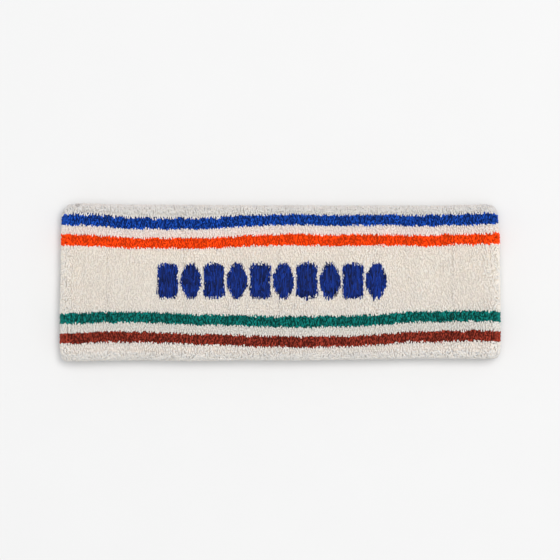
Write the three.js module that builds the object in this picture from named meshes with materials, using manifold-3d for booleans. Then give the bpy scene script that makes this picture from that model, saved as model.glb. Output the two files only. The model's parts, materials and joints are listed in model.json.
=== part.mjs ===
// A terry sports headband lying flat as a collapsed loop, in millimetres.
// X runs along the band, Y is its height when worn, Z is up. The back panel rests on Z = 0, and the origin is
// the middle of that panel's outer face. The band is a double-layer terry tube with an elastic band between
// the layers, a closing seam along its inner face, an embroidered front and a small blank label.
//
// The loop opens from flat to round. So each soft ring is cut into rigid links that turn on hinges along Y.
// Panel hinges bend inwards as the loop opens, and the hinges in its two end folds unbend. The links, the
// notches and the hinge lines mirror about X = 0 and about the loop's mid plane, so the loop stays closed.
import * as THREE from "three";
import { mergeVertices } from "three/addons/utils/BufferGeometryUtils.js";
import Module from "manifold-3d";

const wasm = await Module();
wasm.setup();

// Overall size of the flat loop
const flatLength = 176;
const bandHeight = 62;
const loopGap = 1.2; // between the two panels' inner faces

// The wall, counted from the band's outer face inwards
const outerTerry = 1.8;
const hollow = 2; // holds the backing and the elastic
const innerTerry = 1.6;
const wall = outerTerry + hollow + innerTerry;
const clearance = 0.3; // between neighbouring pieces
const elasticThickness = 0.9;
const elasticHeight = 45;
const seamHeight = 1.8;
const hollowHeight = bandHeight - 2 * outerTerry;

// The flat loop's outline: two straight panels joined by two half-circle folds
const foldRadius = wall + loopGap / 2;
const straightHalf = flatLength / 2 - foldRadius;
const midPlane = foldRadius;
const frontFace = 2 * foldRadius;
const foldSteps = 16;
const edgeSteps = 8;

// Hinge lines. They lie at half the wall's thickness, so the band's length doesn't change as it opens.
const pivotDepth = wall / 2;
const innerHinge = 23.1; // distance of the first panel hinge from X = 0
const outerHinge = 53;
const foldHingeAngle = Math.PI / 4; // from the mid plane, seen from the fold's centre
const innerTurn = THREE.MathUtils.degToRad(40);
const outerTurn = THREE.MathUtils.degToRad(30);
const foldTurn = innerTurn + outerTurn;
const spareTurn = THREE.MathUtils.degToRad(1.5); // each notch is a little wider than its hinge needs
const linkGap = 0.4;
const cutX = 67.5; // the loop is cut here, across the left back panel

// Embroidery: a row of tiles and lozenges, sunk into the pile
const motifCount = 10;
const motifPitch = 9.24;
const motifCentreX = -3.1;
const motifCentreY = 0.6;
const motifWidth = 8.2;
const motifHeight = 13.2;
const motifThickness = 1;
const motifProud = 0.3;
const tileCorner = 1.6;
const lozengeTip = 2.6; // width of a lozenge's blunt tips
const lozengeSide = 3.4; // length of a lozenge's upright sides
const backingThickness = 0.2;
const backingMargin = 2;

// Care label on the inner face of the back panel
const labelWidth = 24;
const labelHeight = 15;
const labelThickness = 0.4;

const cutterSize = 8; // how far cutting shapes reach past the pieces they cut

const materials = {
  terry: fabric("#e4d8cb", 0.95),
  elastic: fabric("#ece9e2", 0.8),
  seam: fabric("#d8cabb", 0.85),
  embroidery: fabric("#212d78", 0.55),
  backing: fabric("#f2f2ef", 0.9),
  label: fabric("#f5f5f3", 0.5),
};

function fabric(color, roughness) {
  return new THREE.MeshStandardMaterial({ color, roughness, metalness: 0 });
}

// Solids from closed meshes, and meshes from solids

function solidFrom(geometry) {
  const bare = geometry.clone();
  bare.deleteAttribute("normal");
  bare.deleteAttribute("uv");
  const merged = mergeVertices(bare, 1e-4);
  return new wasm.Manifold(
    new wasm.Mesh({
      numProp: 3,
      vertProperties: new Float32Array(merged.attributes.position.array),
      triVerts: new Uint32Array(merged.index.array),
    }),
  );
}

function geometryFrom(solid) {
  const mesh = solid.getMesh();
  const geometry = new THREE.BufferGeometry();
  geometry.setAttribute(
    "position",
    new THREE.BufferAttribute(new Float32Array(mesh.vertProperties), 3),
  );
  geometry.setIndex(new THREE.BufferAttribute(new Uint32Array(mesh.triVerts), 1));
  geometry.computeVertexNormals();
  return geometry;
}

function nodeFrom(name, solid, material) {
  const mesh = new THREE.Mesh(geometryFrom(solid), material);
  mesh.name = name;
  return mesh;
}

// A solid whose outline lies in the X-Z plane, as deep in Y as the cutting needs
function prismAlongY(outline) {
  const depth = bandHeight + cutterSize;
  const shape = new THREE.Shape(outline);
  const geometry = new THREE.ExtrudeGeometry(shape, { depth, bevelEnabled: false });
  geometry.rotateX(Math.PI / 2);
  geometry.translate(0, depth / 2, 0);
  return solidFrom(geometry);
}

// A solid whose outline lies in the X-Y plane, between two heights
function prismAlongZ(outline, bottom, top) {
  const shape = new THREE.Shape(outline);
  const geometry = new THREE.ExtrudeGeometry(shape, { depth: top - bottom, bevelEnabled: false });
  geometry.translate(0, 0, bottom);
  return solidFrom(geometry);
}

// The rings: a cross-section swept round the flat loop. A section's points are (depth from the outer face, y).

function loopStations() {
  const stations = [];
  for (const side of [1, -1]) {
    for (let step = 0; step <= foldSteps; step++) {
      const angle = -Math.PI / 2 + (Math.PI * step) / foldSteps;
      stations.push({
        centreX: side * straightHalf,
        outward: new THREE.Vector2(side * Math.cos(angle), side * Math.sin(angle)),
      });
    }
  }
  return stations;
}

function ring(section) {
  const stations = loopStations();
  const across = section.length;
  const positions = [];
  for (const { centreX, outward } of stations) {
    for (const point of section) {
      const radius = foldRadius - point.x;
      positions.push(centreX + outward.x * radius, point.y, midPlane + outward.y * radius);
    }
  }
  const indices = [];
  for (let i = 0; i < stations.length; i++) {
    const next = (i + 1) % stations.length;
    for (let j = 0; j < across; j++) {
      const beside = (j + 1) % across;
      const a = i * across + j;
      const b = next * across + j;
      const c = next * across + beside;
      const d = i * across + beside;
      indices.push(a, b, c, a, c, d);
    }
  }
  const geometry = new THREE.BufferGeometry();
  geometry.setAttribute("position", new THREE.Float32BufferAttribute(positions, 3));
  geometry.setIndex(indices);
  return solidFrom(geometry);
}

// The terry tube's section: a long C with round edges, its slit facing the inside of the loop
function terrySection() {
  const edgeRadius = wall / 2;
  const edgeCentre = bandHeight / 2 - edgeRadius;
  const slit = seamHeight / 2 + clearance;
  const hollowTop = hollowHeight / 2;
  const deep = outerTerry + hollow;
  const points = [new THREE.Vector2(wall, slit)];
  for (const side of [1, -1]) {
    for (let step = 0; step <= edgeSteps; step++) {
      const angle = (Math.PI * step) / edgeSteps;
      const across = side * Math.cos(angle) * edgeRadius;
      const along = side * (edgeCentre + Math.sin(angle) * edgeRadius);
      points.push(new THREE.Vector2(edgeRadius + across, along));
    }
  }
  points.push(
    new THREE.Vector2(wall, -slit),
    new THREE.Vector2(deep, -slit),
    new THREE.Vector2(deep, -hollowTop),
    new THREE.Vector2(outerTerry, -hollowTop),
    new THREE.Vector2(outerTerry, hollowTop),
    new THREE.Vector2(deep, hollowTop),
    new THREE.Vector2(deep, slit),
  );
  return points;
}

function flatSection(shallow, deep, height) {
  return [
    new THREE.Vector2(deep, -height / 2),
    new THREE.Vector2(deep, height / 2),
    new THREE.Vector2(shallow, height / 2),
    new THREE.Vector2(shallow, -height / 2),
  ];
}

function elasticSection() {
  const deep = outerTerry + hollow - clearance;
  return flatSection(deep - elasticThickness, deep, elasticHeight);
}

function seamSection() {
  return flatSection(outerTerry + hollow, wall, seamHeight);
}

// The links: outlines in the X-Z plane, drawn for the right half of the back panel and mirrored from there

const toLeft = (points) => points.map((p) => new THREE.Vector2(-p.x, p.y));
const toFront = (points) => points.map((p) => new THREE.Vector2(p.x, 2 * midPlane - p.y));

// One side of a panel hinge, from below the band up to the mid plane. It leans back above the hinge line.
function panelHingeFace(x, turn, side) {
  const face = x + (side * linkGap) / 2;
  const lean = (midPlane - pivotDepth) * Math.tan(turn / 2 + spareTurn);
  return [
    new THREE.Vector2(face, -cutterSize),
    new THREE.Vector2(face, pivotDepth),
    new THREE.Vector2(face + side * lean, midPlane),
  ];
}

// One side of a fold hinge, from the fold's centre outwards. It leans back outside the hinge line.
function foldHingeFace(side) {
  const radial = new THREE.Vector2(Math.cos(foldHingeAngle), -Math.sin(foldHingeAngle));
  const sideways = new THREE.Vector2(-radial.y, radial.x).multiplyScalar(side);
  const lean = foldTurn / 2 + spareTurn;
  const centre = new THREE.Vector2(straightHalf, midPlane);
  const hinge = centre.clone().addScaledVector(radial, foldRadius - pivotDepth);
  hinge.addScaledVector(sideways, linkGap / 2);
  const end = hinge.clone().addScaledVector(radial, cutterSize * Math.cos(lean));
  end.addScaledVector(sideways, cutterSize * Math.sin(lean));
  return { centre: centre.addScaledVector(sideways, linkGap / 2), hinge, end };
}

function straightFace(x) {
  return [new THREE.Vector2(x, -cutterSize), new THREE.Vector2(x, midPlane)];
}

function centreLink() {
  const right = panelHingeFace(innerHinge, innerTurn, -1);
  return [...right, ...toLeft(right).reverse()];
}

function innerLink() {
  const near = panelHingeFace(innerHinge, innerTurn, 1);
  const far = panelHingeFace(outerHinge, outerTurn, -1);
  return [...far, ...near.reverse()];
}

function outerLink(nearFace) {
  const { centre, hinge, end } = foldHingeFace(-1);
  const below = new THREE.Vector2(end.x, -cutterSize);
  return [below, end, hinge, centre, ...nearFace.slice().reverse()];
}

function foldLink() {
  const { hinge, end } = foldHingeFace(1);
  const tip = new THREE.Vector2(straightHalf + linkGap / 2 / Math.sin(foldHingeAngle), midPlane);
  const beyond = new THREE.Vector2(flatLength, end.y);
  const lower = [tip, hinge, end, beyond];
  return [...lower, ...toFront([hinge, end, beyond]).reverse()];
}

function linkOutlines() {
  const wholeOuter = outerLink(panelHingeFace(outerHinge, outerTurn, 1));
  const cutOuter = outerLink(straightFace(cutX + linkGap / 2));
  const cutInner = [
    ...straightFace(cutX - linkGap / 2),
    ...panelHingeFace(outerHinge, outerTurn, 1).reverse(),
  ];
  return {
    back_centre: centreLink(),
    back_right_inner: innerLink(),
    back_right_outer: wholeOuter,
    right_fold: foldLink(),
    front_right_outer: toFront(wholeOuter),
    front_right_inner: toFront(innerLink()),
    front_centre: toFront(centreLink()),
    front_left_inner: toLeft(toFront(innerLink())),
    front_left_outer: toLeft(toFront(wholeOuter)),
    left_fold: toLeft(foldLink()),
    back_left_end: toLeft(cutOuter),
    back_left_outer: toLeft(cutInner),
    back_left_inner: toLeft(innerLink()),
  };
}

// The embroidery

function tileOutline(grow) {
  const halfWidth = motifWidth / 2 + grow;
  const halfHeight = motifHeight / 2 + grow;
  return mirroredOutline([
    new THREE.Vector2(halfWidth, halfHeight - tileCorner),
    new THREE.Vector2(halfWidth - tileCorner, halfHeight),
  ]);
}

function lozengeOutline(grow) {
  return mirroredOutline([
    new THREE.Vector2(motifWidth / 2 + grow, lozengeSide / 2 + grow),
    new THREE.Vector2(lozengeTip / 2 + grow, motifHeight / 2 + grow),
  ]);
}

// An outline's upper right corners, repeated in its other three quarters
function mirroredOutline(corners) {
  const lowerLeft = corners.map((p) => new THREE.Vector2(-p.x, -p.y));
  return [...corners, ...toLeft(corners).reverse(), ...lowerLeft, ...toLeft(lowerLeft).reverse()];
}

function motifOutline(index, grow) {
  const outline = index % 2 === 0 ? tileOutline(grow) : lozengeOutline(grow);
  const place = new THREE.Vector2(
    motifCentreX + (index - (motifCount - 1) / 2) * motifPitch,
    motifCentreY,
  );
  return outline.map((point) => point.add(place));
}

function motifSolid(index) {
  const top = frontFace + motifProud;
  return prismAlongZ(motifOutline(index, 0), top - motifThickness, top);
}

// The hollow that the stitches press into the pile
function motifPocket(index) {
  const floor = frontFace + motifProud - motifThickness - clearance;
  return prismAlongZ(motifOutline(index, clearance), floor, frontFace + cutterSize);
}

function rectangle(left, right, bottom, top) {
  return [
    new THREE.Vector2(left, bottom),
    new THREE.Vector2(right, bottom),
    new THREE.Vector2(right, top),
    new THREE.Vector2(left, top),
  ];
}

function backingSheet() {
  const halfLength = (motifCount * motifPitch) / 2 + backingMargin;
  const halfHeight = motifHeight / 2 + backingMargin;
  const top = frontFace - outerTerry - clearance;
  const outline = rectangle(
    motifCentreX - halfLength,
    motifCentreX + halfLength,
    motifCentreY - halfHeight,
    motifCentreY + halfHeight,
  );
  return prismAlongZ(outline, top - backingThickness, top);
}

function labelSolid() {
  const bottom = wall + clearance;
  const outline = rectangle(-labelWidth / 2, labelWidth / 2, -seamHeight / 2, labelHeight);
  return prismAlongZ(outline, bottom, bottom + labelThickness);
}

function terryRing() {
  let solid = ring(terrySection());
  for (let index = 0; index < motifCount; index++) {
    solid = solid.subtract(motifPocket(index));
  }
  return solid;
}

// The whole headband

function headband() {
  const group = new THREE.Group();
  const rings = [
    { name: "terry", solid: terryRing(), material: materials.terry },
    { name: "elastic", solid: ring(elasticSection()), material: materials.elastic },
    { name: "seam", solid: ring(seamSection()), material: materials.seam },
    { name: "backing", solid: backingSheet(), material: materials.backing },
  ];
  for (const [place, outline] of Object.entries(linkOutlines())) {
    const cell = prismAlongY(outline);
    for (const { name, solid, material } of rings) {
      const piece = solid.intersect(cell);
      if (!piece.isEmpty()) {
        group.add(nodeFrom(`${name}_${place}`, piece, material));
      }
    }
  }
  for (let index = 0; index < motifCount; index++) {
    group.add(nodeFrom(`embroidery_${index + 1}`, motifSolid(index), materials.embroidery));
  }
  group.add(nodeFrom("care_label", labelSolid(), materials.label));
  return group;
}

export default headband();
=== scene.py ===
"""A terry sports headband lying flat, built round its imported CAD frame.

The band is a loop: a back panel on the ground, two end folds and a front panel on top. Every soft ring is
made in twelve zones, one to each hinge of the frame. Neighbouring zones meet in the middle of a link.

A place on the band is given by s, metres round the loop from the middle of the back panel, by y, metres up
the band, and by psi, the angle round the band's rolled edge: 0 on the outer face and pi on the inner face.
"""
import json
import math

import bpy
import numpy as np
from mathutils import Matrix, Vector

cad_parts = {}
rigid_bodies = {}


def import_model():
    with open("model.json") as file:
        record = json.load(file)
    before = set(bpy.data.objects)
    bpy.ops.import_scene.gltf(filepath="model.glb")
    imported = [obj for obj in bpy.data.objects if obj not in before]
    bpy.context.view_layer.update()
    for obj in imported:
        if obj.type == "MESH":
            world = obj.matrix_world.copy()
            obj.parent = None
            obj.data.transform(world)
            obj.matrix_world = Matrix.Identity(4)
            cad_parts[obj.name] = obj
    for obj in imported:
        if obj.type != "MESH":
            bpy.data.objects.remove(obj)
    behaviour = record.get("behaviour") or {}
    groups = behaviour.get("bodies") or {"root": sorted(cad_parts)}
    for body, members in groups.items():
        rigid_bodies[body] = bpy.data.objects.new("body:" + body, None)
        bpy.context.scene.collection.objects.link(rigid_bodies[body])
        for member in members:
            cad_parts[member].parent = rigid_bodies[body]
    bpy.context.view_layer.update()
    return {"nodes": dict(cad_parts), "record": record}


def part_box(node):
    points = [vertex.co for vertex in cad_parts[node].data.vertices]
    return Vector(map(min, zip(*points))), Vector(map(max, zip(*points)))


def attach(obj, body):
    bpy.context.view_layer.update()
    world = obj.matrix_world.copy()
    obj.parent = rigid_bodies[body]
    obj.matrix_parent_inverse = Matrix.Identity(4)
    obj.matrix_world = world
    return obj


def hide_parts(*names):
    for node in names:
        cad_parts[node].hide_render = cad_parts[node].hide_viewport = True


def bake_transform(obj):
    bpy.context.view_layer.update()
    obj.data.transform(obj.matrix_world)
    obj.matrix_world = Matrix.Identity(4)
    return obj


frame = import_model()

random = np.random.default_rng(20)

MM = 0.001
UP_THE_BAND = np.array([0.0, 1.0, 0.0])

# Sizes read from the frame
back_low, back_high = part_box("terry_back_centre")
front_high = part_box("terry_front_centre")[1]
WALL = back_high.z - back_low.z
MID_Z = (back_low.z + front_high.z) / 2
FOLD_RADIUS = MID_Z - back_low.z
MID_RADIUS = FOLD_RADIUS - WALL / 2
HALF_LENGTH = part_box("terry_right_fold")[1].x
HALF_HEIGHT = back_high.y
STRAIGHT = HALF_LENGTH - FOLD_RADIUS
FOLD = math.pi * MID_RADIUS
LOOP = 4 * STRAIGHT + 2 * FOLD
EDGE_Y = HALF_HEIGHT - WALL / 2

# The terry
PILE = 1.4 * MM
GROUND_HALF = WALL / 2 - PILE
GROUND_THICKNESS = 0.45 * MM
WALE = 0.87 * MM
FOLD_WALE = 0.78 * MM
COURSE = 0.99 * MM
EDGE_COURSES = 12  # how many courses go round a rolled edge
EDGE_ANGLES = (np.arange(EDGE_COURSES) + 0.5) / EDGE_COURSES * math.pi
SEAM_HALF = 1.25 * MM  # the pile stops this far to either side of the closing seam
YARN_RADIUS = 0.3 * MM
YARN_SIDES = 4
SQUEEZED = 0.55  # the height of the pile that is shut in a fold, as a share of the open pile's
LOOP_ARCH = np.radians(np.linspace(-52, 232, 7))  # angles along a pile loop, which is pinched at its feet
# How unlike each other the pile loops are: spreads of their places, turn and lean, and ranges of their sizes
WALE_SPREAD = 0.12  # as a share of the way to the next loop
COURSE_SPREAD = 0.07 * MM
COURSE_WANDER = 0.19 * MM  # alike in neighbouring loops
TURN_SPREAD = 0.36
SIDE_LEAN = 0.3 * MM
FORWARD_LEAN = 0.26 * MM
DROOP = 0.05 * MM
LOOP_TALL = (0.86, 1.04)
LOOP_REACH = (0.3 * MM, 0.5 * MM)
LOOP_THICK = (0.88, 1.12)

# Stripes: how many courses each one's centre line is above the middle of the band
STRIPES = {"blue": 25, "orange": 17, "green": -15, "brown": -23}
STRIPE_COURSES = 4
STRIPE_SPREAD = 1.12  # the coloured yarns are a little bulkier than the cream one
# How far the courses wander up and down along the band, as (x, shift) in millimetres
UPPER_WAVE = [(-88, 0.0), (-80, 0.0), (-56, -1.15), (-32, -1.15), (-8, -0.1), (4, 0.2), (20, -0.15),
              (40, 0.1), (58, -0.15), (74, 0.4), (88, 0.95)]
LOWER_WAVE = [(-88, 0.3), (-80, 0.65), (-68, 1.1), (-56, 1.0), (-44, 0.45), (-32, -0.05), (4, -0.75),
              (28, -0.45), (40, 0.15), (52, 1.05), (76, 1.45), (88, 1.05)]
# How far the ends are drawn in, as (y, inset), and the long edges pushed out, as (x, rise), in millimetres
LEFT_END = [(-31, 0.3), (-24, -0.35), (-17, -0.3), (17, 0.15), (25, 0.4), (31, 1.0)]
RIGHT_END = [(-31, -0.3), (-24, -0.7), (-17, -0.7), (17, -0.4), (25, 0.3), (31, 0.7)]
LONG_EDGES = [(-80, 0.8), (-40, 0.9), (4, -0.1), (28, -0.25), (52, 0.05), (80, 0.4)]

# How the soft band lies: its upper corners are rounded, its long edges bow, its front swells and sags, and
# one corner has a small crease
END_SHARE = 0.34  # the share of half the band's length over which its ends differ from the rest
EDGE_REACH = 2.8 * MM  # the rise of a long edge fades out over this distance
LEFT_CORNER = (7 * MM, 3.5 * MM)  # its length and depth
RIGHT_CORNER = (6 * MM, 2.5 * MM)
CORNER_REACH = 7 * MM  # the drop of a corner fades out over this height
FRONT_REACH = 3 * MM  # swell and sag fade in over this height above the loop's middle
CREASED_REACH = 2 * MM  # and the crease over this one, above the middle of the front's wall
BOW = 0.25 * MM
SWELL = 0.3 * MM
SAG = 0.3 * MM
CREASE_AT = (-81.6 * MM, 29.7 * MM)
CREASE_DEPTH = 2.8 * MM
CREASE_REACH = (1.2 * MM, 0.55 * MM)  # along it and across it

# The embroidery: tiles with their corners cut off, and lozenges that are widest along their straight sides
THREAD_RADIUS = 0.19 * MM
THREAD_SIDES = 6
TILE_CORNER = 1.6 * MM
LOZENGE_SIDE = 1.7 * MM  # half the length of a straight side
LOZENGE_TIP = 1.3 * MM  # half the width at the top and bottom
SATIN_STEPS = 6
SATIN_LAYERS = [(0.42 * MM, 3, 1.0 * MM), (0.31 * MM, 6, 0.58 * MM)]  # pitch, breaks in a column, depth
SATIN_MARGIN = 0.1 * MM
SATIN_OVERLAP = 0.35 * MM  # a stitch runs this far over the next one
SATIN_SPLAY = 0.45 * MM  # how far the outermost columns lean outwards at their ends
SATIN_CROWN = 0.42 * MM  # how much higher the middle columns lie
SATIN_DIP = 0.45 * MM  # how deep a stitch's ends go down
PAD_MARGIN = 0.35 * MM
PAD_DEPTH = 0.75 * MM
PAD_CROWN = 0.45 * MM

# The elastic
RIBS = 16
RIB_HEIGHT = 0.08 * MM
RIB_ROOM = 0.1 * MM  # the ribs' middle lies this far inside the CAD band's faces
ELASTIC_MARGIN = 0.2 * MM

# The closing seam, whose depths are below the inner face
SEAM_STITCH = 2.1 * MM
SEAM_SWING = 0.55 * MM
SEAM_DEPTH = 0.45 * MM
SEAM_RISE = 0.25 * MM
RUNG_HALF = 2.0 * MM
RUNG_DEPTH = 1.1 * MM
RUNG_RISE = 0.75 * MM

# The care label
LABEL_PLY = 0.13 * MM
LABEL_RIB = 0.62 * MM
LABEL_RIB_HEIGHT = 0.03 * MM
LABEL_CURL = 0.28 * MM

# The room
FLOOR_SIZE = 1.6
FLOOR_DROP = 0.15 * MM  # the floor lies a hair under the band
CAMERA_HEIGHT = 1.2
CAMERA_WIDTH = 223 * MM  # how much the camera sees at the height of the band's front
CAMERA_AT = (0.1 * MM, 1.0 * MM)

PANEL_BEND = 8 * MM  # the bend length given to a panel hinge's zone; a fold's zone has a shorter one
SHEET_GAP = 0.04 * MM  # a zone's sheets stop this short of its ends, so that they don't rub


def srgb(red, green, blue):
    """A colour given as 0 to 255 on a screen, in linear light."""
    share = np.array([red, green, blue]) / 255
    return tuple(np.where(share > 0.04045, ((share + 0.055) / 1.055) ** 2.4, share / 12.92))


COLOURS = {
    "cream": srgb(249, 240, 229),
    "blue": srgb(24, 72, 166),
    "orange": srgb(255, 78, 14),
    "green": srgb(14, 112, 104),
    "brown": srgb(144, 54, 40),
    "navy": srgb(12, 38, 108),
    "elastic": srgb(238, 235, 228),
    "thread": srgb(232, 220, 206),
    "backing": srgb(242, 242, 239),
    "label": srgb(246, 246, 244),
    "floor": srgb(225, 225, 225),
}
# How the cream yarn's colour changes from the lower edge to the upper one, by millimetres up from the
# middle.
# It is darkest and greyest at the two rolled edges: painted shade, where they turn away from the light. Just
# above the orange stripe it is pinker: a painted reflection of the orange. Between the stripes it steps
# lighter and darker.
CREAM_PAINTED_SHADE_AND_REFLECTION_BY_HEIGHT = {
    -31: srgb(230, 225, 218),
    -26: srgb(242, 233, 225),
    -18: srgb(229, 225, 218),
    -9: srgb(245, 236, 226),
    11: srgb(250, 239, 227),
    20: srgb(255, 236, 228),
    27: srgb(230, 227, 221),
    31: srgb(224, 217, 213),
}


# The loop's own coordinates


def station(s):
    """The middle of the wall s metres round the loop, and the direction outwards there."""
    s = np.mod(s, LOOP)
    past_right = np.clip(s - STRAIGHT, 0, FOLD)
    past_left = np.clip(s - 3 * STRAIGHT - FOLD, 0, FOLD)
    angle = (past_right + past_left) / MID_RADIUS - math.pi / 2
    outward = np.stack([np.cos(angle), np.zeros_like(s), np.sin(angle)], -1)
    x = (
        np.minimum(s, STRAIGHT)
        - np.clip(s - STRAIGHT - FOLD, 0, 2 * STRAIGHT)
        + np.maximum(s - 3 * STRAIGHT - 2 * FOLD, 0)
    )
    centre = np.stack([x, np.zeros_like(s), np.full_like(s, MID_Z)], -1)
    return centre + outward * MID_RADIUS, outward


def along_loop(x, z):
    """How far round the loop the point (x, z) of the wall is."""
    if x > STRAIGHT:
        return STRAIGHT + MID_RADIUS * (math.atan2(z - MID_Z, x - STRAIGHT) + math.pi / 2)
    if x < -STRAIGHT:
        turned = math.atan2(MID_Z - z, -STRAIGHT - x) + math.pi / 2
        return 3 * STRAIGHT + FOLD + MID_RADIUS * turned
    return x % LOOP if z < MID_Z else 2 * STRAIGHT + FOLD - x


def through(points, x):
    """A smooth line through a few (x, value) points in millimetres."""
    places, values = np.array(points).T * MM
    before = np.clip(np.searchsorted(places, x, side="right") - 1, 0, len(places) - 2)
    share = np.clip((x - places[before]) / (places[before + 1] - places[before]), 0, 1)
    share = share * share * (3 - 2 * share)
    return values[before] * (1 - share) + values[before + 1] * share


def wave(x, y):
    """How far the course at height y is shifted up at x."""
    upper, lower = STRIPES["orange"] * COURSE, STRIPES["green"] * COURSE
    share = np.clip((y - lower) / (upper - lower), 0, 1)
    fade = np.clip((HALF_HEIGHT - np.abs(y)) / (4 * MM), 0, 1)
    return fade * (through(UPPER_WAVE, x) * share + through(LOWER_WAVE, x) * (1 - share))


def smooth(value):
    value = np.clip(value, 0, 1)
    return value * value * (3 - 2 * value)


def lay(s, psi, y, height):
    """Points that stand height above the middle of the tube's section, and their directions along the loop,
    across the courses and out of the cloth."""
    centre, outward = station(s)
    y = y + wave(centre[..., 0], y) * np.cos(psi / 2) ** 2
    cosine, sine = np.cos(psi)[..., None], np.sin(psi)[..., None]
    out = outward * cosine + UP_THE_BAND * sine
    across = UP_THE_BAND * cosine - outward * sine
    along = np.stack([-outward[..., 2], np.zeros_like(y), outward[..., 0]], -1)
    points = centre + UP_THE_BAND * y[..., None] + out * np.asarray(height)[..., None]
    return points, along, across, out


def relax(points):
    """The small ways in which the soft band differs from its straight CAD shape."""
    x, y, z = points[..., 0], points[..., 1], points[..., 2]
    end = smooth(1 - (HALF_LENGTH - np.abs(x)) / (END_SHARE * HALF_LENGTH))
    inset = end * np.where(x < 0, through(LEFT_END, y), through(RIGHT_END, y))
    rise = through(LONG_EDGES, x) * smooth((np.abs(y) - EDGE_Y + EDGE_REACH) / EDGE_REACH)
    drop = np.where(x < 0, corner_drop(x, *LEFT_CORNER), corner_drop(x, *RIGHT_CORNER))
    drop = drop * smooth((y - HALF_HEIGHT + CORNER_REACH) / CORNER_REACH)
    bow = BOW * np.sin(x / (19 * MM) + 0.6) * y / HALF_HEIGHT
    swell = SWELL * np.sin(x / (13 * MM)) * np.cos(y / (15 * MM) + 0.4)
    sag = 1 + np.sin(x / (8 * MM) + y / (25 * MM)) * np.cos(x / (23 * MM))
    swell -= SAG * sag * smooth((np.abs(y) - 20 * MM) / (10 * MM))
    front = smooth((z - MID_Z) / FRONT_REACH)
    outer_face = smooth((z - MID_Z - MID_RADIUS) / CREASED_REACH)
    z = z + front * (1 - end) * swell - outer_face * crease(x, y)
    return np.stack([x - np.sign(x) * inset, y + bow + np.sign(y) * rise - drop, z], -1)


def corner_drop(x, length, depth):
    """How far a corner of the outline is rounded down at x, as a quarter of an ellipse."""
    share = np.clip((np.abs(x) - HALF_LENGTH + length) / length, 0, 1)
    return depth * (1 - np.sqrt(1 - share**2))


def crease(x, y):
    """The depth of the one small crease, which slants across the upper left corner."""
    beside, up = x - CREASE_AT[0], y - CREASE_AT[1]
    along, across = 0.9 * beside + 0.35 * up, up - 0.35 * beside
    return CREASE_DEPTH * np.exp(-((along / CREASE_REACH[0]) ** 2) - (across / CREASE_REACH[1]) ** 2)


# Zones


def link_place(body):
    """How far round the loop a body's link is."""
    low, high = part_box("terry_" + body)
    return along_loop((low.x + high.x) / 2, (low.z + high.z) / 2)


def make_zones():
    """One zone to each hinge, in order round the loop."""
    zones = []
    for joint in frame["record"]["behaviour"]["joints"]:
        x, _, z = joint["pos_m"]
        place = along_loop(x, z)
        ahead = (link_place(joint["child"]) - place + LOOP / 2) % LOOP > LOOP / 2
        bodies = (joint["parent"], joint["child"]) if ahead else (joint["child"], joint["parent"])
        bend = MID_RADIUS * math.pi / 4 if abs(x) > STRAIGHT else PANEL_BEND
        zones.append({"name": joint["name"], "place": place, "bodies": bodies, "bend": bend})
    zones.sort(key=lambda zone: zone["place"])
    cut = (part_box("terry_back_left_end")[1].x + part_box("terry_back_left_outer")[0].x) / 2 % LOOP
    for zone, after in zip(zones, zones[1:] + zones[:1]):
        middle = (zone["place"] + (after["place"] - zone["place"]) % LOOP / 2) % LOOP
        zone["end"] = cut if zone["place"] < cut < after["place"] else middle
        after["start"] = zone["end"]
    zones[-1]["end"] = LOOP
    zones[0]["start"] = 0.0
    return zones


ZONES = make_zones()
ZONE_ENDS = np.array([zone["end"] for zone in ZONES])


def zone_of(s):
    return np.searchsorted(ZONE_ENDS[:-1], np.mod(s, LOOP), side="right")


def bend_with(piece):
    """Bakes a piece's placement into its mesh."""
    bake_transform(piece)


# Meshes


def unit(vectors):
    return vectors / np.maximum(np.linalg.norm(vectors, axis=-1, keepdims=True), 1e-12)


def tubes(paths, sideways, radius, sides):
    """Round yarn along each path, closed at both ends. paths is (count, points, 3), sideways (count, 3) and
    radius one number or one for each path."""
    count, points, _ = paths.shape
    along = unit(np.gradient(paths, axis=1))
    side = np.broadcast_to(sideways[:, None, :], paths.shape)
    side = unit(side - along * np.sum(side * along, -1, keepdims=True))
    over = np.cross(along, side)
    angles = 2 * math.pi * (np.arange(sides) + 0.5) / sides
    ring = side[:, :, None] * np.cos(angles)[:, None] + over[:, :, None] * np.sin(angles)[:, None]
    verts = paths[:, :, None] + ring * np.reshape(radius, (-1, 1, 1, 1))
    step, turn = np.meshgrid(np.arange(points - 1), np.arange(sides), indexing="ij")
    beside = (turn + 1) % sides
    wall = np.stack([step * sides + turn, step * sides + beside,
                     (step + 1) * sides + beside, (step + 1) * sides + turn], -1).reshape(-1, 4)
    fan = np.array([[0, k, k + 1, k + 2] for k in range(1, sides - 1, 2)])
    caps = np.concatenate([fan[:, ::-1], fan + (points - 1) * sides])
    faces = np.concatenate([wall, caps])
    return verts.reshape(count, points * sides, 3), faces


def mesh_piece(name, verts, faces, material_list, tone=None, slots=None):
    """A mesh object from arrays. verts is (n, 3) and faces (m, 4). tone is a number for each vertex."""
    mesh = bpy.data.meshes.new(name)
    mesh.vertices.add(len(verts))
    mesh.vertices.foreach_set("co", verts.astype(np.float32).ravel())
    mesh.loops.add(faces.size)
    mesh.loops.foreach_set("vertex_index", faces.astype(np.int32).ravel())
    mesh.polygons.add(len(faces))
    mesh.polygons.foreach_set("loop_start", np.arange(0, faces.size, 4, dtype=np.int32))
    mesh.polygons.foreach_set("use_smooth", np.full(len(faces), True))
    for material in material_list:
        mesh.materials.append(material)
    if slots is not None:
        mesh.polygons.foreach_set("material_index", slots.astype(np.int32))
    if tone is not None:
        attribute = mesh.attributes.new("tone", "FLOAT", "POINT")
        attribute.data.foreach_set("value", tone.astype(np.float32))
    mesh.update(calc_edges=True)
    piece = bpy.data.objects.new(name, mesh)
    bpy.context.scene.collection.objects.link(piece)
    return piece


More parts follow.
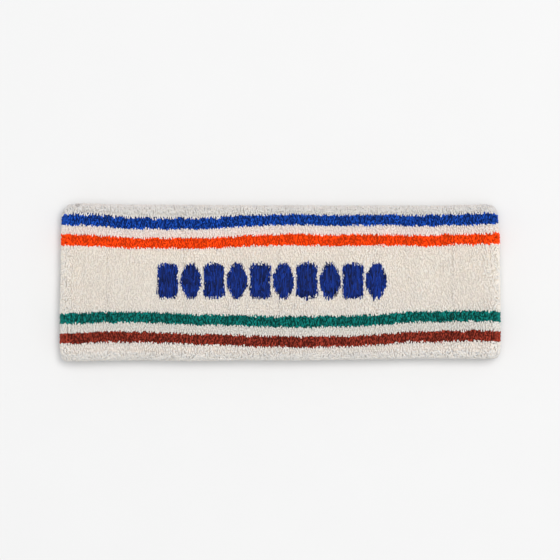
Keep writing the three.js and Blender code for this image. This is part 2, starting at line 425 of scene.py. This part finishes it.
def yarn_piece(name, verts, faces, material, tone):
    """One piece from many equal tubes. verts is (count, corners, 3), tone (count, 1) or (count, corners)."""
    count, corners, _ = verts.shape
    every = (faces[None] + (np.arange(count) * corners)[:, None, None]).reshape(-1, 4)
    tone = np.broadcast_to(tone, (count, corners))
    return mesh_piece(name, relax(verts.reshape(-1, 3)), every, [material], tone.ravel())


# Materials


def new_material(name):
    material = bpy.data.materials.new(name)
    material.use_nodes = True
    nodes, links = material.node_tree.nodes, material.node_tree.links
    return material, nodes, links, nodes["Principled BSDF"]


def noise(nodes, links, size, detail=3.0):
    """Noise whose grain is about size metres across."""
    place = nodes.new("ShaderNodeTexCoord")
    texture = nodes.new("ShaderNodeTexNoise")
    texture.inputs["Scale"].default_value = 1 / size
    texture.inputs["Detail"].default_value = detail
    links.new(place.outputs["Object"], texture.inputs["Vector"])
    return texture.outputs["Fac"]


def spread(nodes, links, value, low, high):
    """value from 0 to 1, mapped to low to high."""
    ranged = nodes.new("ShaderNodeMapRange")
    ranged.inputs["To Min"].default_value = low
    ranged.inputs["To Max"].default_value = high
    links.new(value, ranged.inputs["Value"])
    return ranged.outputs["Result"]


def times(nodes, links, first, second):
    product = nodes.new("ShaderNodeMath")
    product.operation = "MULTIPLY"
    links.new(first, product.inputs[0])
    links.new(second, product.inputs[1])
    return product.outputs["Value"]


def by_height(nodes, links, colours):
    """A colour that changes up the band: colours says what it is at some heights in millimetres."""
    lowest, *between, highest = colours.items()
    place = nodes.new("ShaderNodeTexCoord")
    parts = nodes.new("ShaderNodeSeparateXYZ")
    links.new(place.outputs["Object"], parts.inputs["Vector"])
    share = nodes.new("ShaderNodeMapRange")
    share.inputs["From Min"].default_value = lowest[0] * MM
    share.inputs["From Max"].default_value = highest[0] * MM
    links.new(parts.outputs["Y"], share.inputs["Value"])
    ramp = nodes.new("ShaderNodeValToRGB")
    stops = ramp.color_ramp.elements
    stops[0].color = (*lowest[1], 1)
    stops[-1].color = (*highest[1], 1)
    for height, colour in between:
        stops.new((height - lowest[0]) / (highest[0] - lowest[0])).color = (*colour, 1)
    links.new(share.outputs["Result"], ramp.inputs["Fac"])
    return ramp.outputs["Color"]


def textile(name, colour, tone_range, heights=None, grain=0.35 * MM, roughness=(0.8, 0.96), sheen=0.25,
            bump=0.3, glow=0.0):
    """Yarn: each strand has its own tone, fibres mottle it, and the cloth's colour drifts a little. On the
    pile, the ground and the satin the tone also holds painted shade and painted highlight.
    heights says how its colour changes up the band, if it does; for the cream this holds painted shade and a
    painted reflection.
    glow is how much of the light sinks into the fibres before it comes out."""
    material, nodes, links, shader = new_material(name)
    own = nodes.new("ShaderNodeAttribute")
    own.attribute_name = "tone"
    brightness = times(nodes, links, spread(nodes, links, own.outputs["Fac"], *tone_range),
                       spread(nodes, links, noise(nodes, links, grain), 0.86, 1.12))
    drift = spread(nodes, links, noise(nodes, links, 18 * MM, 1.0), 0.96, 1.04)
    brightness = times(nodes, links, brightness, drift)
    scaled = nodes.new("ShaderNodeVectorMath")
    scaled.operation = "SCALE"
    scaled.inputs[0].default_value = colour
    if heights:
        links.new(by_height(nodes, links, heights), scaled.inputs[0])
    links.new(brightness, scaled.inputs["Scale"])
    links.new(scaled.outputs["Vector"], shader.inputs["Base Color"])
    links.new(spread(nodes, links, noise(nodes, links, 2 * grain), *roughness), shader.inputs["Roughness"])
    relief = nodes.new("ShaderNodeBump")
    relief.inputs["Strength"].default_value = bump
    relief.inputs["Distance"].default_value = 0.08 * MM
    links.new(noise(nodes, links, 0.12 * MM, 4.0), relief.inputs["Height"])
    links.new(relief.outputs["Normal"], shader.inputs["Normal"])
    shader.inputs["Specular IOR Level"].default_value = 0.12
    shader.inputs["Subsurface Weight"].default_value = glow
    shader.inputs["Subsurface Radius"].default_value = (1.0, 0.9, 0.8)
    shader.inputs["Subsurface Scale"].default_value = 0.45 * MM
    shader.inputs["Sheen Weight"].default_value = sheen
    shader.inputs["Sheen Roughness"].default_value = 0.5
    shader.inputs["Sheen Tint"].default_value = (*colour, 1)
    return material


MATERIALS = {
    "cream": textile("terry_cream", COLOURS["cream"], (0.92, 1.05), CREAM_PAINTED_SHADE_AND_REFLECTION_BY_HEIGHT, glow=0.75),
    # The ground's tone range is lower than the pile's: painted shade down under the loops.
    "ground": textile("knit_ground", COLOURS["cream"], (0.88, 0.98), CREAM_PAINTED_SHADE_AND_REFLECTION_BY_HEIGHT, glow=0.5),
    # The satin's tone range is very wide: each stitch's random brightness stands in for the glints and dark
    # specks of light on satin, painted highlight and painted shade.
    "navy": textile("satin_stitch_navy", COLOURS["navy"], (0.15, 2.1), roughness=(0.45, 0.65), sheen=0.0,
                    bump=0.15),
    "elastic": textile("woven_elastic", COLOURS["elastic"], (0.9, 1.05), bump=0.5),
    "thread": textile("seam_thread", COLOURS["thread"], (0.85, 1.1), roughness=(0.6, 0.8)),
    "backing": textile("non_woven_backing", COLOURS["backing"], (0.9, 1.05), grain=0.8 * MM, bump=0.6),
    "label": textile("woven_satin_label", COLOURS["label"], (0.95, 1.0), roughness=(0.35, 0.5), bump=0.1),
}
# The stripes' tone ranges are wide: besides each loop's own random tone they deepen the painted shade at the
# loops' feet and on the ground, and brighten the painted highlight on the loops' tops.
STRIPE_TONES = {"blue": (0.1, 1.7), "orange": (0.5, 1.35), "green": (0.1, 1.75), "brown": (0.15, 1.65)}
for stripe, tones in STRIPE_TONES.items():
    MATERIALS[stripe] = textile("terry_" + stripe, COLOURS[stripe], tones, sheen=0.08)


# The terry pile


def stripe_of(y, courses=STRIPE_COURSES):
    """The name of the stripe that height y lies in, or cream."""
    for name, courses_up in STRIPES.items():
        if abs(y / COURSE - courses_up) < courses / 2:
            return name
    return "cream"


def spread_stripe(y):
    """The height of a course, moved a little away from its stripe's middle if it is in one."""
    yarn = stripe_of(y)
    if yarn == "cream":
        return y
    middle = STRIPES[yarn] * COURSE
    return middle + (y - middle) * STRIPE_SPREAD


def outer_courses():
    """Rows of loops on the outer face and the outer half of both rolled edges: (psi, y, yarn)."""
    half_count = round(EDGE_Y / COURSE)
    heights = [spread_stripe((k + 0.5) * COURSE) for k in range(-half_count, half_count)]
    flat = [(0.0, y, stripe_of(y)) for y in heights]
    return flat + rolled_courses(EDGE_ANGLES[EDGE_ANGLES < math.pi / 2])


def rolled_courses(angles):
    return [(side * angle, side * EDGE_Y, "cream") for side in (1, -1) for angle in angles]


def inner_courses():
    """Rows of loops on the inner face, up to the closing seam, and the inner half of both rolled edges."""
    count = round((EDGE_Y - SEAM_HALF) / COURSE)
    heights = [EDGE_Y - (k + 0.5) * COURSE for k in range(count)]
    flat = [(side * math.pi, side * y, "cream") for side in (1, -1) for y in heights]
    return flat + rolled_courses(EDGE_ANGLES[EDGE_ANGLES > math.pi / 2])


def wales(ground_radius):
    """Where the loops' columns stand round the loop, evenly spaced on the ground cloth."""
    straight_count = round(2 * STRAIGHT / WALE)
    fold_count = round(math.pi * (ground_radius + PILE / 2) / FOLD_WALE)
    straight = (np.arange(straight_count) + 0.5) / straight_count * 2 * STRAIGHT
    fold = (np.arange(fold_count) + 0.5) / fold_count * FOLD
    half = np.concatenate([straight, 2 * STRAIGHT + fold])
    whole = np.concatenate([half, half + LOOP / 2]) - STRAIGHT
    return np.mod(whole, LOOP), whole[1] - whole[0]


def uneven(rows, columns):
    """Random numbers that are alike in neighbouring wales and courses."""
    grid = random.normal(0, 1, (rows + 2, columns + 1))
    grid = (grid[:-2] + grid[1:-1] + grid[2:]) / math.sqrt(3)
    return ((grid[:, :-1] + grid[:, 1:]) / math.sqrt(2)).ravel()


def loop_paths(s, psi, y, height):
    """The centre line of each pile loop: a round arch pinched at its feet, with its own size, turn and lean.
    Also how high each of its points stands, as a share of the loop's height."""
    count = len(s)
    root, along, across, out = lay(s, psi, y, np.full(count, GROUND_HALF))
    turn = random.normal(0, TURN_SPREAD, count)
    sideways = unit(along * np.cos(turn)[:, None] - across * np.sin(turn)[:, None])
    forward = unit(across * np.cos(turn)[:, None] + along * np.sin(turn)[:, None])
    tall = height * random.uniform(*LOOP_TALL, count)
    reach = random.uniform(*LOOP_REACH, count)
    share = np.broadcast_to(0.44 + 0.5 * np.sin(LOOP_ARCH), (count, len(LOOP_ARCH)))
    swing = reach[:, None] * np.cos(LOOP_ARCH)
    lean_side = random.normal(0, SIDE_LEAN, count)[:, None] * share**2
    lean_forward = random.normal(-DROOP, FORWARD_LEAN, count)[:, None] * share**2
    paths = (
        root[:, None]
        + forward[:, None] * (swing + lean_forward)[..., None]
        + sideways[:, None] * lean_side[..., None]
        + out[:, None] * (tall[:, None] * share)[..., None]
    )
    return paths, sideways, share


def pile(courses, ground_radius, side_name, keep):
    """Every loop of one face of the terry, as one piece to each zone and yarn."""
    places, pitch = wales(ground_radius)
    rows, columns = len(courses), len(places)
    s = np.tile(places, rows) + np.repeat((np.arange(rows) % 2) * pitch / 2, columns)
    s += random.normal(0, WALE_SPREAD, s.size) * pitch
    psi = np.repeat([course[0] for course in courses], columns)
    y = np.repeat([course[1] for course in courses], columns)
    shift = random.normal(0, COURSE_SPREAD, y.size) + COURSE_WANDER * uneven(rows, columns)
    rolled = np.mod(psi, math.pi) > 0
    y += np.where(rolled, 0, shift)
    psi += np.where(rolled, shift / (WALL / 2), 0)
    yarn = np.repeat([course[2] for course in courses], columns)
    own = random.uniform(0, 1, y.size) + np.tile(random.normal(0, 0.12, columns), rows)
    kept = keep(s, psi, y)
    s, psi, y, yarn, own = s[kept], psi[kept], y[kept], yarn[kept], own[kept]
    in_fold = np.abs(station(s)[0][:, 0]) > STRAIGHT
    height = np.where(in_fold & (np.abs(psi) > math.pi / 2), SQUEEZED, 1.0) * (PILE - YARN_RADIUS)
    paths, sideways, share = loop_paths(s, psi, y, height)
    radius = YARN_RADIUS * random.uniform(*LOOP_THICK, s.size)
    verts, faces = tubes(paths, sideways, radius, YARN_SIDES)
    # Each loop's tone is its own random tone plus painted shade and painted highlight: 0.4 times how high
    # each point stands up the loop, so the feet down in the pile are darker and the top is lighter.
    tone = np.repeat(0.65 * own[:, None] + 0.4 * share, YARN_SIDES, axis=1)
    zone_index = zone_of(s)
    for index, zone in enumerate(ZONES):
        for name in dict.fromkeys(yarn):
            chosen = (zone_index == index) & (yarn == name)
            piece = yarn_piece(f"pile_{side_name}_{name}_{zone['name']}", verts[chosen], faces,
                               MATERIALS[name], tone[chosen])
            bend_with(piece)


# The embroidery


def motif_kind(index):
    return "tile" if index % 2 == 0 else "lozenge"


def motif_half_width(kind, size, up):
    """Half the width of a motif at a height above its middle."""
    half_width, half_height = size.x / 2, size.y / 2
    if kind == "tile":
        return half_width - np.clip(np.abs(up) - (half_height - TILE_CORNER), 0, TILE_CORNER)
    share = np.clip((np.abs(up) - LOZENGE_SIDE) / (half_height - LOZENGE_SIDE), 0, 1)
    return half_width * (1 - share) + LOZENGE_TIP * share


def motif_boxes():
    names = [name for name in frame["nodes"] if name.startswith("embroidery_")]
    names.sort(key=lambda name: int(name.split("_")[1]))
    return [(name, motif_kind(index), *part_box(name)) for index, name in enumerate(names)]


MOTIFS = motif_boxes()


def clear_of_motifs(s, psi, y):
    """True where a pile loop isn't pressed flat under the embroidery."""
    centre, outward = station(s)
    x = centre[:, 0]
    free = np.ones(len(s), bool)
    for _, kind, low, high in MOTIFS:
        middle, size = (low + high) / 2, high - low
        up = y + wave(x, y) - middle.y
        inside = np.abs(up) < size.y / 2 - YARN_RADIUS
        inside &= np.abs(x - middle.x) < motif_half_width(kind, size, up) - YARN_RADIUS
        free &= ~(inside & (outward[:, 2] > 0.9) & (psi == 0))
    return free


def satin_stitches(kind, low, high):
    """Satin threads side by side in two layers, each column broken at random into several short stitches."""
    middle, size = (low + high) / 2, high - low
    share = np.linspace(0, 1, SATIN_STEPS)
    dip = SATIN_DIP * (1 - np.sin(math.pi * share) ** 0.35)
    half_width = size.x / 2 - SATIN_MARGIN
    paths = []
    for pitch, break_count, depth in SATIN_LAYERS:
        columns = round(size.x / pitch)
        ragged = np.repeat(random.normal(0.1, 0.3, (columns // 3 + 1, 2)), 3, axis=0) * MM
        for column in range(columns):
            across = (column + 0.5) / columns * 2 - 1
            height = front_high.z - depth + SATIN_CROWN * (1 - 0.5 * abs(across) ** 4) - dip
            reach = size.y / 2 * highest(kind, size, across * half_width)
            ends = reach + ragged[column] + random.normal(0, 0.08 * MM, 2)
            breaks = np.sort(random.uniform(-0.85, 0.85, break_count)) * reach
            knots = np.concatenate([[-ends[0]], breaks, [ends[1]]])
            for start, finish in zip(knots[:-1], knots[1:]):
                up = start - SATIN_OVERLAP + (finish - start + 2 * SATIN_OVERLAP) * share
                wander = random.normal(0, 0.22, 2) * MM
                splay = across * SATIN_SPLAY * (up / (size.y / 2)) ** 2
                x = middle.x + across * half_width + splay + wander[0] * (1 - share) + wander[1] * share
                paths.append(np.stack([x, middle.y + up, height], -1))
    return np.array(paths), random.uniform(0, 1, (len(paths), 1))


def highest(kind, size, x):
    """How far up from its middle a motif reaches at x, as a share of half its height."""
    heights = np.linspace(0, 1, 60)
    widths = motif_half_width(kind, size, heights * size.y / 2)
    inside = heights[widths >= abs(x) - 1e-9]
    return inside[-1] if len(inside) else 0.05


def motif_base(kind, low, high):
    """The solid pad of underlay that the satin threads lie on."""
    middle, size = (low + high) / 2, high - low
    heights = np.linspace(-1, 1, 23) * (size.y / 2 - PAD_MARGIN)
    across = np.linspace(-1, 1, 13)
    wide = motif_half_width(kind, size, heights) - PAD_MARGIN
    x = middle.x + wide[:, None] * across
    y = middle.y + np.repeat(heights[:, None], len(across), 1)
    dome = (1 - np.abs(across)[None] ** 6) * (1 - np.abs(heights / heights[-1])[:, None] ** 6)
    top = front_high.z - PAD_DEPTH + PAD_CROWN * dome
    bottom = np.full_like(top, front_high.z - PILE)
    return closed_sheet(np.stack([x, y, top], -1), np.stack([x, y, bottom], -1))


def closed_sheet(top, bottom):
    """A solid between two grids of points: its verts and its faces."""
    rows, columns, _ = top.shape
    corner = np.arange(rows * columns).reshape(rows, columns)
    upper = np.stack([corner[:-1, :-1], corner[:-1, 1:], corner[1:, 1:], corner[1:, :-1]], -1).reshape(-1, 4)
    lower = upper[:, ::-1] + rows * columns
    rim = np.concatenate([corner[0, :], corner[1:, -1], corner[-1, -2::-1], corner[-2:0:-1, 0]])
    after = np.roll(rim, -1)
    edge = np.stack([rim + rows * columns, after + rows * columns, after, rim], -1)
    return np.concatenate([top.reshape(-1, 3), bottom.reshape(-1, 3)]), np.concatenate([upper, lower, edge])


def embroider():
    for name, kind, low, high in MOTIFS:
        paths, tones = satin_stitches(kind, low, high)
        sideways = np.tile([1.0, 0.0, 0.0], (len(paths), 1))
        verts, faces = tubes(paths, sideways, THREAD_RADIUS, THREAD_SIDES)
        stitches = yarn_piece("satin_" + name, verts, faces, MATERIALS["navy"], tones)
        pad_verts, pad_faces = motif_base(kind, low, high)
        # The pad gets a low tone: painted shade under the stitches.
        pad = mesh_piece("underlay_" + name, relax(pad_verts), pad_faces, [MATERIALS["navy"]],
                         np.full(len(pad_verts), 0.2))
        for piece in (stitches, pad):
            bend_with(piece)
        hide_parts(name)


# The knitted ground, the elastic and the backing: sheets that follow the loop


def zone_steps(zone, pitch):
    """Even steps along a zone, closer together where it goes round a fold."""
    start, end = zone["start"] + SHEET_GAP, zone["end"] - SHEET_GAP
    if zone["bend"] < PANEL_BEND:
        pitch = pitch / 2
    return np.linspace(start, end, max(3, round((end - start) / pitch) + 1))


def swept(section_psi, section_y, section_height, steps):
    """A closed section carried along the loop: its verts and its faces, ends closed."""
    s = np.repeat(steps[:, None], len(section_y), 1)
    shape = s.shape
    points, _, _, _ = lay(s, np.broadcast_to(section_psi, shape), np.broadcast_to(section_y, shape),
                          np.broadcast_to(section_height, shape))
    rows, across = shape
    corner = np.arange(rows * across).reshape(rows, across)
    beside = np.roll(corner, -1, 1)
    wall = np.stack([corner[:-1], beside[:-1], beside[1:], corner[1:]], -1).reshape(-1, 4)
    half = across // 2
    near = np.arange(half - 1)
    cap = np.stack([near, near + 1, across - 2 - near, across - 1 - near], -1)
    caps = np.concatenate([cap[:, ::-1], cap + (rows - 1) * across])
    return points.reshape(-1, 3), np.concatenate([wall, caps])


def ground_section():
    """The knitted tube's section, from one side of the closing seam right round to the other."""
    inner = np.linspace(SEAM_HALF - 0.5 * MM, EDGE_Y, 26)
    roll = np.linspace(0, math.pi, 9)[1:-1]
    outer = np.linspace(EDGE_Y, -EDGE_Y, round(2 * EDGE_Y / COURSE) + 1)
    flat, edge = np.ones(len(inner)), np.ones(len(roll))
    psi = np.concatenate([math.pi * flat, roll[::-1], np.zeros(len(outer)), -roll, -math.pi * flat])
    y = np.concatenate([inner, EDGE_Y * edge, outer, -EDGE_Y * edge, -inner[::-1]])
    return psi, y


def knitted_ground():
    psi, y = ground_section()
    both_psi, both_y = np.concatenate([psi, psi[::-1]]), np.concatenate([y, y[::-1]])
    height = np.repeat([GROUND_HALF, GROUND_HALF - GROUND_THICKNESS], len(psi))
    names = ["cream", *STRIPES]
    middles = (both_y + np.roll(both_y, -1)) / 2
    on_front = (both_psi == 0) & (np.roll(both_psi, -1) == 0)
    yarns = [stripe_of(y, STRIPE_COURSES + 0.2) if seen else "cream" for y, seen in zip(middles, on_front)]
    slot_across = np.array([names.index(yarn) for yarn in yarns])
    material_list = [MATERIALS["ground"], *(MATERIALS[name] for name in STRIPES)]
    for zone in ZONES:
        steps = zone_steps(zone, 2 * WALE)
        verts, faces = swept(both_psi, both_y, height, steps)
        wall_slots = np.tile(slot_across, len(steps) - 1)
        slots = np.concatenate([wall_slots, np.zeros(len(faces) - len(wall_slots))])
        # A low tone for the whole ground, cream and stripes alike: painted shade down under the pile.
        piece = mesh_piece("terry_ground_" + zone["name"], relax(verts), faces, material_list,
                           np.full(len(verts), 0.15), slots)
        bend_with(piece)
        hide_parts(*("terry_" + body for body in zone["bodies"]))


def ribbed_section(half_width, low, high, ribs, depth):
    """A flat band's section whose two faces are ribbed lengthways."""
    y = np.linspace(half_width, -half_width, 4 * ribs + 1)
    ridge = depth * np.cos(2 * math.pi * ribs * (y + half_width) / (2 * half_width))
    return np.concatenate([y, y[::-1]]), np.concatenate([high + ridge, low - ridge[::-1]])


def elastic_band():
    low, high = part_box("elastic_back_centre")
    inner_face, outer_face = WALL / 2 - high.z + RIB_ROOM, WALL / 2 - low.z - RIB_ROOM
    y, height = ribbed_section(high.y - ELASTIC_MARGIN, inner_face, outer_face, RIBS, RIB_HEIGHT)
    for zone in ZONES:
        verts, faces = swept(np.zeros(len(y)), y, height, zone_steps(zone, 2 * MM))
        piece = mesh_piece("elastic_" + zone["name"], relax(verts), faces, [MATERIALS["elastic"]],
                           np.full(len(verts), 0.5))
        bend_with(piece)
        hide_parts(*("elastic_" + body for body in zone["bodies"]))


def embroidery_backing():
    nodes = [name for name in frame["nodes"] if name.startswith("backing_")]
    boxes = {name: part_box(name) for name in nodes}
    left = min(box[0].x for box in boxes.values())
    right = max(box[1].x for box in boxes.values())
    low, high = boxes["backing_front_centre"]
    start, end = along_loop(right, high.z), along_loop(left, high.z)
    middle = front_high.z - WALL / 2
    y = np.linspace(high.y, low.y, 12)
    both = np.concatenate([y, y[::-1]])
    height = np.repeat([high.z - middle, low.z - middle], len(y))
    for zone in ZONES:
        first, last = max(zone["start"], start), min(zone["end"], end)
        if first >= last:
            continue
        verts, faces = swept(np.zeros(len(both)), both, height, np.linspace(first, last, 10))
        piece = mesh_piece("backing_" + zone["name"], relax(verts), faces, [MATERIALS["backing"]],
                           np.full(len(verts), 0.5))
        bend_with(piece)
        names = ["backing_" + body for body in zone["bodies"]]
        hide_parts(*(name for name in names if name in boxes))


# The closing seam


def on_inner_face(s, y, height):
    psi = np.full(s.shape, math.pi)
    return lay(s, psi, np.broadcast_to(y, s.shape), np.broadcast_to(height, s.shape))[0]


def seam_thread():
    """A linked chain along the middle of the inner face, and the ladder of threads that holds both edges."""
    count = round(LOOP / SEAM_STITCH)
    middles = (np.arange(count) + 0.5) / count * LOOP
    share = np.linspace(0, 1, 9)
    bulge = np.sin(math.pi * share)
    link_height = WALL / 2 - SEAM_DEPTH + SEAM_RISE * share
    rung_height = WALL / 2 - RUNG_DEPTH + RUNG_RISE * bulge**0.5
    for zone_index, zone in enumerate(ZONES):
        own = middles[zone_of(middles) == zone_index]
        paths = []
        for side in (1, -1):
            link = own[:, None] + 1.25 * SEAM_STITCH * (share - 0.5)
            paths.append(on_inner_face(link, side * SEAM_SWING * bulge, link_height))
            rung = own[:, None] + side * SEAM_STITCH / 4 + 0.15 * SEAM_STITCH * (share - 0.5)
            paths.append(on_inner_face(rung, RUNG_HALF * (2 * share - 1), rung_height))
        paths = np.concatenate(paths)
        outward = station(np.tile(own, 4))[1]
        verts, faces = tubes(paths, outward, THREAD_RADIUS, THREAD_SIDES)
        piece = yarn_piece("closing_seam_" + zone["name"], verts, faces, MATERIALS["thread"],
                           random.uniform(0, 1, (len(paths), 1)))
        bend_with(piece)
        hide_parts(*("seam_" + body for body in zone["bodies"]))


# The care label


def care_label():
    """A blank satin ribbon folded in half, its two ends caught in the closing seam."""
    low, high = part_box("care_label")
    fold = (high.z - low.z - LABEL_PLY) / 2
    length = high.y - fold - LABEL_PLY / 2 - low.y
    down = np.linspace(0, 1, 96)[:, None]
    angles = np.linspace(-math.pi / 2, math.pi / 2, 9)[1:-1, None]
    turned = np.concatenate([length + fold * np.cos(angles), fold * np.sin(angles)], 1)
    under = np.concatenate([down * length, np.full_like(down, -fold)], 1)
    line = np.concatenate([under, turned, under[::-1] * (1, -1)])
    lengthways = unit(np.gradient(line, axis=0))
    normal = np.stack([-lengthways[:, 1], lengthways[:, 0]], -1)
    x = np.repeat(np.linspace(low.x, high.x, 41)[None], len(line), 0)

    def layer(offset, depth):
        ribs = depth * np.cos(2 * math.pi * line[:, :1] / LABEL_RIB)
        moved = line + normal * (offset + ribs)
        y = np.repeat(moved[:, :1], x.shape[1], 1)
        curl = LABEL_CURL * (y / length) ** 2 * np.sin(x / (6 * MM) + 0.8)
        return np.stack([x, low.y + y, (low.z + high.z) / 2 + moved[:, 1:] + curl], -1)

    verts, faces = closed_sheet(layer(LABEL_PLY / 2, LABEL_RIB_HEIGHT), layer(-LABEL_PLY / 2, 0))
    piece = mesh_piece("care_label_ribbon", verts, faces, [MATERIALS["label"]], np.full(len(verts), 0.5))
    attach(piece, "back_centre")
    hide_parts("care_label")


# The room


def place_stage():
    corners = np.array([[-1, -1], [1, -1], [1, 1], [-1, 1]]) * FLOOR_SIZE / 2
    verts = np.column_stack([corners, np.full(4, -FLOOR_DROP)])
    material, nodes, links, shader = new_material("pale_floor")
    scaled = nodes.new("ShaderNodeVectorMath")
    scaled.operation = "SCALE"
    scaled.inputs[0].default_value = COLOURS["floor"]
    links.new(spread(nodes, links, noise(nodes, links, 30 * MM), 0.99, 1.01), scaled.inputs["Scale"])
    links.new(scaled.outputs["Vector"], shader.inputs["Base Color"])
    shader.inputs["Roughness"].default_value = 0.8
    floor = mesh_piece("floor", verts, np.array([[0, 1, 2, 3]]), [material])


def place_light(name, location, size, power, colour=(1, 1, 1)):
    light = bpy.data.lights.new(name, "AREA")
    light.shape = "DISK"
    light.size = size
    light.energy = power
    light.color = colour
    holder = bpy.data.objects.new(name, light)
    holder.location = location
    holder.rotation_mode = "QUATERNION"
    holder.rotation_quaternion = (-Vector(location)).to_track_quat("-Z", "Y")
    bpy.context.scene.collection.objects.link(holder)


def place_lights():
    place_light("overhead", (0.15, 0.2, 2.4), size=2.0, power=31.0)
    place_light("key", (0.65, 0.5, 2.8), size=1.1, power=25.0, colour=(1.0, 0.985, 0.965))
    world = bpy.data.worlds.new("studio")
    world.use_nodes = True
    nodes, links = world.node_tree.nodes, world.node_tree.links
    background = nodes["Background"]
    background.inputs["Color"].default_value = (0.98, 0.99, 1.0, 1)
    seen = nodes.new("ShaderNodeLightPath").outputs["Is Camera Ray"]
    links.new(spread(nodes, links, seen, 0.5, 0.88), background.inputs["Strength"])
    bpy.context.scene.world = world
    bpy.context.scene.view_settings.view_transform = "Standard"


def place_camera():
    """Straight above the band, far enough off that its sides hardly show."""
    camera = bpy.data.cameras.new("camera")
    camera.sensor_width = 36
    camera.lens = camera.sensor_width * CAMERA_HEIGHT / CAMERA_WIDTH
    camera.clip_start = 0.05
    holder = bpy.data.objects.new("camera", camera)
    holder.location = (*CAMERA_AT, front_high.z + CAMERA_HEIGHT)
    bpy.context.scene.collection.objects.link(holder)
    bpy.context.scene.camera = holder


def everywhere(s, psi, y):
    return np.ones(len(s), bool)


knitted_ground()
pile(outer_courses(), MID_RADIUS + GROUND_HALF, "outer", clear_of_motifs)
pile(inner_courses(), MID_RADIUS - GROUND_HALF, "inner", everywhere)
embroider()
elastic_band()
embroidery_backing()
seam_thread()
care_label()
place_stage()
place_lights()
place_camera()
